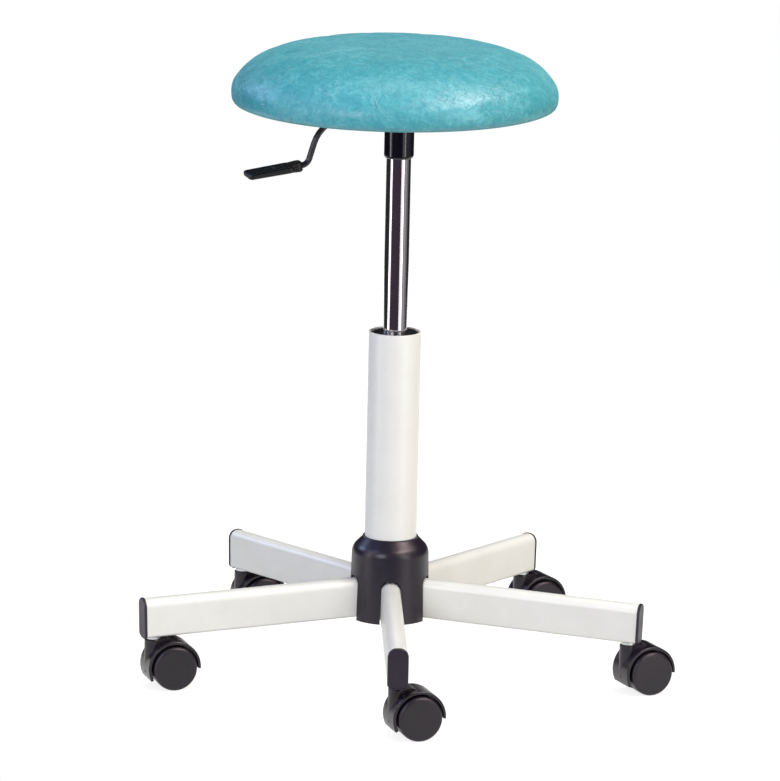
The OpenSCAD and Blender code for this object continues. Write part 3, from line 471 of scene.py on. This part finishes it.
def teal_vinyl():
    cloud_mm, fleck_mm, crinkle_mm, grain_mm = 38, 11, 14, 1.6
    made, tree, place = blank("expanded_teal_vinyl")
    cloud = add(tree, "TexNoise", {"Vector": place, "Scale": per(cloud_mm), "Detail": 4.0,
                                   "Roughness": 0.6, "Distortion": 0.8})
    fleck = add(tree, "TexNoise", {"Vector": place, "Scale": per(fleck_mm), "Detail": 4.0,
                                   "Roughness": 0.62, "Distortion": 1.6})
    crinkle = add(tree, "TexNoise", {"Vector": place, "Scale": per(crinkle_mm), "Detail": 3.5,
                                     "Roughness": 0.6, "Distortion": 1.2})
    grain = add(tree, "TexVoronoi", {"Vector": place, "Scale": per(grain_mm), "Randomness": 0.9},
                feature="SMOOTH_F1")
    aside = add(tree, "Mapping", {"Vector": place, "Location": (0.31, 0.17, 0.05)})
    along = add(tree, "Mapping", {"Vector": place, "Location": (0.7, 0.2, 0.4), "Scale": (0.45, 1.0, 1.0)})
    pale = veins(tree, place, cell_mm=20, width=0.036, patch_mm=44)
    dark = veins(tree, aside.outputs["Vector"], cell_mm=24, width=0.03, patch_mm=50)
    crease = veins(tree, along.outputs["Vector"], cell_mm=26, width=0.03, patch_mm=60)

    # The clouds and flecks pick the tone, and the veins lie over it at a third of their strength.
    tone = add(tree, "Math", {0: cloud.outputs["Fac"], 1: 0.4, 2: -0.2}, operation="MULTIPLY_ADD")
    tone = add(tree, "Math", {0: fleck.outputs["Fac"], 1: 0.9, 2: tone.outputs["Value"]},
               operation="MULTIPLY_ADD")
    hue = add(tree, "ValToRGB", {"Fac": tone.outputs["Value"]})
    stops = hue.color_ramp.elements
    stops[0].position, stops[0].color = 0.24, linear("#3993a0")
    stops[1].position, stops[1].color = 0.66, linear("#5fb4bd")
    middle = stops.new(0.45)
    middle.color = linear("#49a2ac")
    paled = add(tree, "Math", {0: pale, 1: 0.3}, operation="MULTIPLY")
    lit = add(tree, "Mix", {0: paled.outputs["Value"], 6: hue.outputs["Color"], 7: linear("#96d3d8")},
              data_type="RGBA")
    deep = add(tree, "Math", {0: dark, 1: 0.3}, operation="MULTIPLY")
    shade = add(tree, "Mix", {0: deep.outputs["Value"], 6: lit.outputs[2], 7: linear("#2f8894")},
                data_type="RGBA")

    # Where the vinyl is slack it crinkles; the creases sink, the pale veins stand up a little.
    slack = add(tree, "MapRange", {"Value": cloud.outputs["Fac"], "From Min": 0.4, "From Max": 0.62,
                                   "To Min": 0.15, "To Max": 0.8})
    relief = add(tree, "Math", {0: crinkle.outputs["Fac"], 1: slack.outputs["Result"]},
                 operation="MULTIPLY")
    relief = add(tree, "Math", {0: grain.outputs["Distance"], 1: 0.05, 2: relief.outputs["Value"]},
                 operation="MULTIPLY_ADD")
    relief = add(tree, "Math", {0: crease, 1: -0.35, 2: relief.outputs["Value"]}, operation="MULTIPLY_ADD")
    relief = add(tree, "Math", {0: pale, 1: 0.16, 2: relief.outputs["Value"]}, operation="MULTIPLY_ADD")
    bump = add(tree, "Bump", {"Height": relief.outputs["Value"], "Strength": 0.8, "Distance": 0.0012})

    # Seen along the surface the grain hides the gloss, so the vinyl turns matt there.
    facing = add(tree, "LayerWeight", {"Blend": 0.5})
    low = add(tree, "MapRange", {"Value": facing.outputs["Facing"], "From Min": 0.55, "From Max": 0.95,
                                 "To Min": 0.0, "To Max": 0.46})
    rough = add(tree, "MapRange", {"Value": fleck.outputs["Fac"], "From Min": 0.3, "From Max": 0.7,
                                   "To Min": 0.3, "To Max": 0.38})
    matt = add(tree, "Math", {0: rough.outputs["Result"], 1: low.outputs["Result"]}, operation="ADD")
    surface = add(tree, "BsdfPrincipled", {
        "Base Color": shade.outputs[2], "Roughness": matt.outputs["Value"], "IOR": 1.45,
        "Normal": bump.outputs["Normal"]})
    add(tree, "OutputMaterial", {"Surface": surface.outputs["BSDF"]})
    return made


vinyl = teal_vinyl()
cushion.data.materials.append(vinyl)
smoothed(cushion)
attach(cushion, "seat")
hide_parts("seat_cover", "seat_foam")


# Hem and staples
# The vinyl's edge is gathered under the board in small pleats and shot down with wire staples,
# 10 mm wide and about 20 mm apart. The pleats are all of different width.
PLEAT_LEAST, PLEAT_MOST = 5.0, 11.0
STAPLES, STAPLE_W, STAPLE_LEG, WIRE_R = 46, 0.010, 0.003, 0.00035
chance = random.Random(11)


def make_hem():
    """A ring of thin vinyl whose pleats hang a little more towards each fold, most at its inner edge."""
    rounds, rows = 720, 9
    fold_h, bow_h, ragged, below = 0.0011, 0.0010, 0.0006, 0.0002
    cuts = [0.0]
    while cuts[-1] < 360.0:
        cuts.append(cuts[-1] + chance.uniform(PLEAT_LEAST, PLEAT_MOST))
    depth = [chance.uniform(0.25, 1.0) for _ in cuts]
    points, faces = [], []
    for j in range(rows):
        share = j / (rows - 1)
        r = HEM_R + HEM_W * share
        for k in range(rounds):
            turn = 360.0 * k / rounds
            n = max(i for i, c in enumerate(cuts) if c <= turn)
            width = (cuts[n + 1] if n + 1 < len(cuts) else 360.0) - cuts[n]
            part = min((turn - cuts[n]) / max(width, 1.0), 1.0)
            lift = depth[n] * (part ** 3) * (1.0 - 0.7 * share)
            edge = ragged * math.sin(5.3 * turn) * (1.0 - share)
            a = math.radians(turn)
            points.append(((r + edge) * math.cos(a), (r + edge) * math.sin(a),
                           SEAT_LOW - below + bow_h * share ** 2 - fold_h * lift))
    for j in range(rows - 1):
        for k in range(rounds):
            a, b = j * rounds, (j + 1) * rounds
            faces.append((a + k, b + k, b + (k + 1) % rounds, a + (k + 1) % rounds))
    made = placed("seat_hem", points, faces)
    skin = made.modifiers.new("skin", "SOLIDIFY")
    skin.thickness = 0.0009
    return made


hem = make_hem()
hem.data.transform(Matrix.Translation(SEAT_OFF))
hem.data.materials.append(vinyl)
smoothed(hem)
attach(hem, "seat")


def make_staples():
    """Bent wire staples round the hem: a crown on the vinyl and two legs going up into the board."""
    shape = bmesh.new()
    half, bend, sides, flatness = STAPLE_W / 2, 0.0004, 8, 1.4
    path = [(-half, STAPLE_LEG), (-half, bend), (-half + bend, 0),
            (half - bend, 0), (half, bend), (half, STAPLE_LEG)]
    for n in range(STAPLES):
        turn = 2 * math.pi * n / STAPLES + chance.uniform(-0.02, 0.02)
        tilt = chance.uniform(-0.35, 0.35)
        out = HEM_R + HEM_W / 2 + chance.uniform(-0.0015, 0.0015)
        place = Matrix.Rotation(turn, 4, "Z") @ Matrix.Translation((out, 0, SEAT_LOW - 0.0009))
        place = place @ Matrix.Rotation(tilt, 4, "Z")
        rings = []
        for i, (y, z) in enumerate(path):
            before, after = path[max(i - 1, 0)], path[min(i + 1, len(path) - 1)]
            run = Vector((0, after[0] - before[0], after[1] - before[1])).normalized()
            side = Vector((1, 0, 0))
            up = run.cross(side)
            ring = [shape.verts.new(place @ (Vector((0, y, z)) + side * WIRE_R * flatness * math.cos(t)
                                             + up * WIRE_R * math.sin(t)))
                    for t in (2 * math.pi * k / sides for k in range(sides))]
            rings.append(ring)
        for one, two in zip(rings, rings[1:]):
            for k in range(sides):
                shape.faces.new((one[k], one[(k + 1) % sides], two[(k + 1) % sides], two[k]))
        shape.faces.new(rings[0][::-1])
        shape.faces.new(rings[-1])
    bmesh.ops.recalc_face_normals(shape, faces=shape.faces)
    mesh = bpy.data.meshes.new("hem_staples")
    shape.to_mesh(mesh)
    shape.free()
    made = bpy.data.objects.new("hem_staples", mesh)
    bpy.context.scene.collection.objects.link(made)
    return made


staples = make_staples()
staples.data.transform(Matrix.Translation(SEAT_OFF))
staples.data.materials.append(zinc)
smoothed(staples)
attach(staples, "seat")


# Studio
# A round paper floor and soft boxes at the front, the right and above that light the stool. Round
# them stand dark cloths, strips and windows that only mirrors see, as in a product studio.
def disc(name, radius, height, back=0.0):
    """A flat round sheet, moved back from the camera's side."""
    sides = 96
    turns = [2 * math.pi * k / sides for k in range(sides)]
    points = [(radius * math.cos(t), back + radius * math.sin(t), height) for t in turns]
    return placed(name, points, [tuple(range(sides))])


def background_share(tree):
    """1 for rays that look, mirror or pass through, which see the white background, and 0 for the rest."""
    path = add(tree, "LightPath")
    seen = add(tree, "Math", {0: path.outputs["Is Camera Ray"], 1: path.outputs["Is Glossy Ray"]},
               operation="MAXIMUM")
    return add(tree, "Math", {0: seen.outputs["Value"], 1: path.outputs["Is Transmission Ray"]},
               operation="MAXIMUM").outputs["Value"]


def floor_paper():
    """Pale paper, dull and even. Its glow is for the camera, mirrors and glass, to which it is white."""
    fibre_mm, glow_strength = 40, 0.8
    made, tree, place = blank("pale_paper_floor")
    fibre = add(tree, "TexNoise", {"Vector": place, "Scale": per(fibre_mm), "Detail": 4.0})
    tone = add(tree, "Mix", {0: fibre.outputs["Fac"], 6: linear("#a7a59f"), 7: linear("#adaba5")},
               data_type="RGBA")
    paper = add(tree, "BsdfDiffuse", {"Color": tone.outputs[2]})
    glow = add(tree, "Emission", {"Color": (1, 1, 1, 1), "Strength": glow_strength})
    lit = add(tree, "AddShader", {0: paper.outputs["BSDF"], 1: glow.outputs["Emission"]})
    mixed = add(tree, "MixShader", {0: background_share(tree), 1: paper.outputs["BSDF"],
                                    2: lit.outputs["Shader"]})
    add(tree, "OutputMaterial", {"Surface": mixed.outputs["Shader"]})
    return made


floor = disc("floor", radius=1.5, height=0.0, back=1.0)
floor.data.materials.append(floor_paper())

# The room's own light is cooler and dimmer from the left, and a little warm from the right.
world = bpy.data.worlds.new("studio")
world.use_nodes = True
air = world.node_tree
air.nodes.clear()
seen = background_share(air)
strength = add(air, "MapRange", {"Value": seen, "To Min": 0.83, "To Max": 1.0})
toward = add(air, "SeparateXYZ", {0: add(air, "TexCoord").outputs["Generated"]})
side = add(air, "MapRange", {"Value": toward.outputs["X"], "From Min": -0.9, "From Max": 0.7})
wash = add(air, "Mix", {0: side.outputs["Result"], 6: linear("#9fa5c0"), 7: linear("#fffcf8")},
           data_type="RGBA")
shade = add(air, "Mix", {0: seen, 6: wash.outputs[2], 7: (1, 1, 1, 1)}, data_type="RGBA")
sky = add(air, "Background", {"Color": shade.outputs[2], "Strength": strength.outputs["Result"]})
add(air, "OutputWorld", {"Surface": sky.outputs["Background"]})
bpy.context.scene.world = world


def draped(made, dark, pale):
    """Covers a wall or ceiling of the room with cloth, and leaves it to mirrors alone."""
    weave_mm = 90
    cloth, tree, place = blank(made.name + "_cloth")
    weave = add(tree, "TexNoise", {"Vector": place, "Scale": per(weave_mm), "Detail": 2.0})
    hue = add(tree, "Mix", {0: weave.outputs["Fac"], 6: linear(dark), 7: linear(pale)}, data_type="RGBA")
    dull = add(tree, "Emission", {"Color": hue.outputs[2], "Strength": 1.0})
    add(tree, "OutputMaterial", {"Surface": dull.outputs["Emission"]})
    made.data.materials.append(cloth)
    made.visible_camera = made.visible_diffuse = made.visible_shadow = False
    made.visible_transmission = False


def room_wall(name, start, end, radius, low, high, dark, pale):
    """A curved cloth from one compass angle to another. Angles start from the camera's side."""
    steps = 48
    turns = [math.radians(start + (end - start) * k / steps) for k in range(steps + 1)]
    points = [(radius * math.sin(a), -radius * math.cos(a), z) for a in turns for z in (low, high)]
    faces = [(2 * k, 2 * k + 2, 2 * k + 3, 2 * k + 1) for k in range(steps)]
    draped(placed(name, points, faces), dark, pale)


room_wall("dark_wall", 30, 300, radius=3.6, low=-2.0, high=4.2, dark="#29272b", pale="#39363b")
room_wall("plum_wall", -60, 30, radius=3.6, low=-2.0, high=4.2, dark="#382f3a", pale="#463c48")
room_wall("pale_wall", 62, 86, radius=2.0, low=-1.0, high=0.9, dark="#a3a0a3", pale="#b3b0b3")
room_wall("grey_wall", 86, 108, radius=2.0, low=-1.0, high=0.9, dark="#757275", pale="#858285")
draped(disc("dark_ceiling", radius=3.7, height=4.2), "#2d2b30", "#3a373c")


def soft_box(name, angle, distance, height, wide, tall, aim, colour, radiance):
    """A soft box aimed at a height on the column. Its power comes from the brightness of its cloth."""
    data = bpy.data.lights.new(name, "AREA")
    data.shape = "RECTANGLE"
    data.size, data.size_y = wide, tall
    data.color = linear(colour)[:3]
    data.energy = radiance * math.pi * wide * tall
    made = bpy.data.objects.new(name, data)
    a = math.radians(angle)
    made.location = (distance * math.sin(a), -distance * math.cos(a), height)
    line = Vector((0.0, 0.0, aim)) - Vector(made.location)
    made.rotation_euler = line.to_track_quat("-Z", "Y").to_euler()
    made.visible_camera = False
    bpy.context.scene.collection.objects.link(made)
    return made


# Each row: name, angle from the camera's side, distance, height, width, length, height aimed at,
# colour and brightness. The mirrored ones show only as bands and highlights on chrome, black and vinyl.
for mirrored in (
        ("right_strip", 44, 1.5, 0.85, 0.8, 2.0, 0.85, "#fffaf8", 1.3),
        ("left_strip", -68, 1.5, 0.85, 0.65, 2.0, 0.85, "#fff8fc", 1.3),
        ("right_tube", 50, 1.45, 0.55, 0.12, 1.3, 0.55, "#fffaf8", 5.5),
        ("left_tube", -68, 1.45, 0.55, 0.12, 1.3, 0.55, "#f4f4ff", 7.0),
        ("right_window", 66, 1.9, 3.0, 3.2, 1.2, 0.7, "#ffdedc", 7.0),
        ("left_window", -62, 2.1, 2.7, 1.2, 0.8, 0.5, "#bccdff", 4.6),
        ("back_window", -114, 2.6, 1.75, 1.1, 0.7, 0.7, "#b9ccff", 11.0)):
    soft_box(*mirrored).visible_diffuse = False
for lamp in (
        ("front_left", -28, 3.2, 1.3, 1.4, 1.4, 0.5, "#f0f4ff", 7.5),
        ("front_right", 42, 3.2, 1.3, 1.4, 1.4, 0.5, "#fffaf6", 1.8),
        ("key", 68, 2.0, 3.1, 1.3, 0.7, 0.7, "#fffaf4", 15.0),
        ("overhead", 160, 0.3, 3.9, 1.8, 1.8, 0.5, "#ffffff", 2.9)):
    soft_box(*lamp)

# The camera's place and angles were fitted to the photograph, whose long side is 781 pixels.
SENSOR_W, FOCAL_PX, FRAME_PX = 36.0, 5131.7, 781.0
lens = bpy.data.cameras.new("long_lens")
lens.sensor_width = SENSOR_W
lens.lens = SENSOR_W * FOCAL_PX / FRAME_PX
lens.clip_start, lens.clip_end = 0.05, 100.0
camera = bpy.data.objects.new("camera", lens)
pitch, roll, yaw = math.radians(12.271), math.radians(1.252), math.radians(-0.137)
forward = Vector((math.sin(yaw) * math.cos(pitch), math.cos(yaw) * math.cos(pitch), -math.sin(pitch)))
level = Vector((math.cos(yaw), -math.sin(yaw), 0.0))
upright = level.cross(forward)
right = math.cos(roll) * level + math.sin(roll) * upright
up = -math.sin(roll) * level + math.cos(roll) * upright
facing = Matrix((right, up, -forward)).transposed()
camera.matrix_world = Matrix.Translation((0.0095, -5.7645, 1.5856)) @ facing.to_4x4()
bpy.context.scene.collection.objects.link(camera)
bpy.context.scene.camera = camera
bpy.context.scene.view_settings.view_transform = "Standard"
